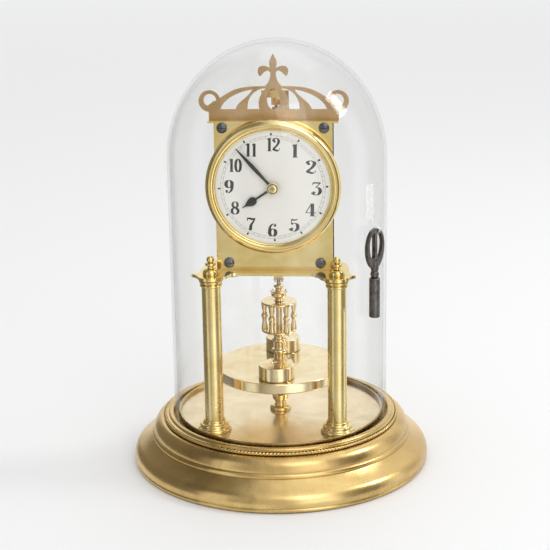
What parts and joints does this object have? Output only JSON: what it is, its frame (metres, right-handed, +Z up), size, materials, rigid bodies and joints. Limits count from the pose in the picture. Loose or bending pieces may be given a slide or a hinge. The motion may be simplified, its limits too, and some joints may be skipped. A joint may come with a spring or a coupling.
{
  "type": "anniversary clock",
  "caption": "Torsion-pendulum mantel clock under a glass dome: round moulded brass base, two columns, dial with crest, rotating disc pendulum and a hanging key.",
  "frame": {"origin": "centre of the underside of the base, on the pendulum axis", "axes": "+Z up along the dome and pendulum axis; the dial faces -Y; +X is to the right of the dial"},
  "size_m": [0.2038, 0.2038, 0.2905],
  "materials": {
    "polished_brass": "polished and lacquered",
    "aged_brass": "spun, patinated, with stains and small dents",
    "bronzed_brass": "flat satin",
    "pale_brass": "fine brushed",
    "train_brass": "machined",
    "steel": "polished",
    "blued_steel": "blued",
    "dark_steel": "worn and oxidised",
    "black_hands": "gloss black",
    "enamel": "vitreous enamel on copper",
    "glass": "clear blown",
    "clear_tape": "clear film"
  },
  "bodies": {
    "frame": {"base_moulding": "aged_brass", "rope_ring": "aged_brass", "base_top_plate": "pale_brass", "pendulum_cup": "polished_brass", "column_feet": "polished_brass", "column_shafts": "polished_brass", "column_capitals": "polished_brass", "column_tie_rods": "steel", "tie_rod_nuts": "steel", "finials": "polished_brass", "platform": "polished_brass", "thumb_screws": "steel", "front_plate": "polished_brass", "back_plate": "polished_brass", "movement_pillars": "polished_brass", "plate_screws": "blued_steel", "small_screws": "steel", "roof_plate": "polished_brass", "crown": "bronzed_brass", "dial": "enamel", "bezel": "polished_brass", "minute_wheel_post": "steel", "suspension_bracket": "train_brass", "suspension_saddle": "polished_brass", "click_spring": "steel"},
    "dome": {"glass_dome": "glass", "key_tape": "clear_tape"},
    "key": {"winding_key": "dark_steel"},
    "centre": {"centre_arbor": "steel", "centre_wheel": "train_brass", "cannon_pinion": "steel", "minute_hand": "black_hands", "hand_collet": "polished_brass"},
    "minute_work": {"minute_wheel": "train_brass"},
    "hour": {"hour_wheel": "train_brass", "hour_hand": "black_hands"},
    "third": {"third_wheel": "train_brass"},
    "second": {"second_wheel": "train_brass"},
    "barrel_body": {"barrel": "train_brass", "barrel_cap": "train_brass", "mainspring": "blued_steel"},
    "winding": {"winding_arbor": "steel", "ratchet_wheel": "steel"},
    "click_lever": {"click": "steel"},
    "fourth": {"fourth_wheel": "train_brass"},
    "escape": {"escape_wheel": "train_brass"},
    "anchor_body": {"anchor": "steel", "anchor_arbor": "steel"},
    "fork": {"suspension_fork": "train_brass"},
    "pendulum": {"suspension_spring": "steel", "lower_suspension_block": "train_brass", "pendulum_disc": "polished_brass", "disc_under_plate": "train_brass", "pendulum_stem": "polished_brass", "gallery_plates": "polished_brass", "gallery_balusters": "polished_brass", "pendulum_rod": "steel"},
    "regulator": {"regulator_knob": "polished_brass"},
    "front_weight": {"weight_front": "polished_brass"},
    "rear_weight": {"weight_rear": "polished_brass"}
  },
  "joints": [
    {"name": "dome_lift", "type": "slide", "parent": "frame", "child": "dome", "axis": [0, 0, 1], "range_m": [0, 0.3]},
    {"name": "key_swing", "type": "hinge", "parent": "dome", "child": "key", "pos_m": [0.06581, -0.04112, 0.1724], "axis": [-0.5299, -0.848, 0], "range_deg": [0, 60]},
    {"name": "centre_turn", "type": "hinge", "parent": "frame", "child": "centre", "pos_m": [0, -0.018, 0.199], "axis": [0, 1, 0], "continuous": true},
    {"name": "minute_work_turn", "type": "hinge", "parent": "frame", "child": "minute_work", "pos_m": [0, -0.018, 0.187], "axis": [0, 1, 0], "continuous": true},
    {"name": "hour_turn", "type": "hinge", "parent": "frame", "child": "hour", "pos_m": [0, -0.018, 0.199], "axis": [0, 1, 0], "continuous": true},
    {"name": "third_turn", "type": "hinge", "parent": "frame", "child": "third", "pos_m": [0.00854, -0.018, 0.1884], "axis": [0, 1, 0], "continuous": true},
    {"name": "second_turn", "type": "hinge", "parent": "frame", "child": "second", "pos_m": [0.00752, -0.018, 0.17347], "axis": [0, 1, 0], "continuous": true},
    {"name": "barrel_turn", "type": "hinge", "parent": "frame", "child": "barrel_body", "pos_m": [-0.013, -0.018, 0.166], "axis": [0, 1, 0], "continuous": true},
    {"name": "winding_turn", "type": "hinge", "parent": "frame", "child": "winding", "pos_m": [-0.013, -0.018, 0.166], "axis": [0, 1, 0], "continuous": true},
    {"name": "click_lift", "type": "hinge", "parent": "frame", "child": "click_lever", "pos_m": [-0.0235, -0.018, 0.1725], "axis": [0, 1, 0], "range_deg": [-7, 0]},
    {"name": "fourth_turn", "type": "hinge", "parent": "frame", "child": "fourth", "pos_m": [-0.0102, -0.018, 0.21], "axis": [0, 1, 0], "continuous": true},
    {"name": "escape_turn", "type": "hinge", "parent": "frame", "child": "escape", "pos_m": [0, -0.018, 0.221], "axis": [0, 1, 0], "continuous": true},
    {"name": "anchor_rock", "type": "hinge", "parent": "frame", "child": "anchor_body", "pos_m": [0, -0.018, 0.233], "axis": [0, 1, 0], "range_deg": [-4.3, 4.3]},
    {"name": "pendulum_swing", "type": "hinge", "parent": "frame", "child": "pendulum", "pos_m": [0, 0, 0.2], "axis": [0, 0, 1], "range_deg": [-150, 150], "stiffness_Nm_per_rad": 0.00029},
    {"name": "fork_turn", "type": "hinge", "parent": "frame", "child": "fork", "pos_m": [0, 0, 0.2434], "axis": [0, 0, 1], "range_deg": [-4, 4]},
    {"name": "regulator_turn", "type": "hinge", "parent": "pendulum", "child": "regulator", "pos_m": [0, 0, 0.118], "axis": [0, 0, 1], "range_deg": [-34, 150]},
    {"name": "front_weight_slide", "type": "slide", "parent": "pendulum", "child": "front_weight", "axis": [0, -1, 0], "range_m": [-0.00785, 0.00178]},
    {"name": "rear_weight_slide", "type": "slide", "parent": "pendulum", "child": "rear_weight", "axis": [0, 1, 0], "range_m": [-0.00785, 0.00178]}
  ],
  "couplings": [
    {"joint": "minute_work_turn", "follows": "centre_turn", "ratio": -0.33333},
    {"joint": "hour_turn", "follows": "centre_turn", "ratio": 0.083333},
    {"joint": "third_turn", "follows": "centre_turn", "ratio": -0.11111},
    {"joint": "second_turn", "follows": "centre_turn", "ratio": 0.011111},
    {"joint": "barrel_turn", "follows": "centre_turn", "ratio": -0.00092593},
    {"joint": "fourth_turn", "follows": "centre_turn", "ratio": -4},
    {"joint": "escape_turn", "follows": "centre_turn", "ratio": 16},
    {"joint": "fork_turn", "follows": "pendulum_swing", "ratio": 0.025},
    {"joint": "anchor_rock", "follows": "pendulum_swing", "ratio": 0.0274},
    {"joint": "regulator_turn", "follows": "front_weight_slide", "rad_per_m": -333.33},
    {"joint": "rear_weight_slide", "follows": "front_weight_slide", "ratio": 1}
  ]
}
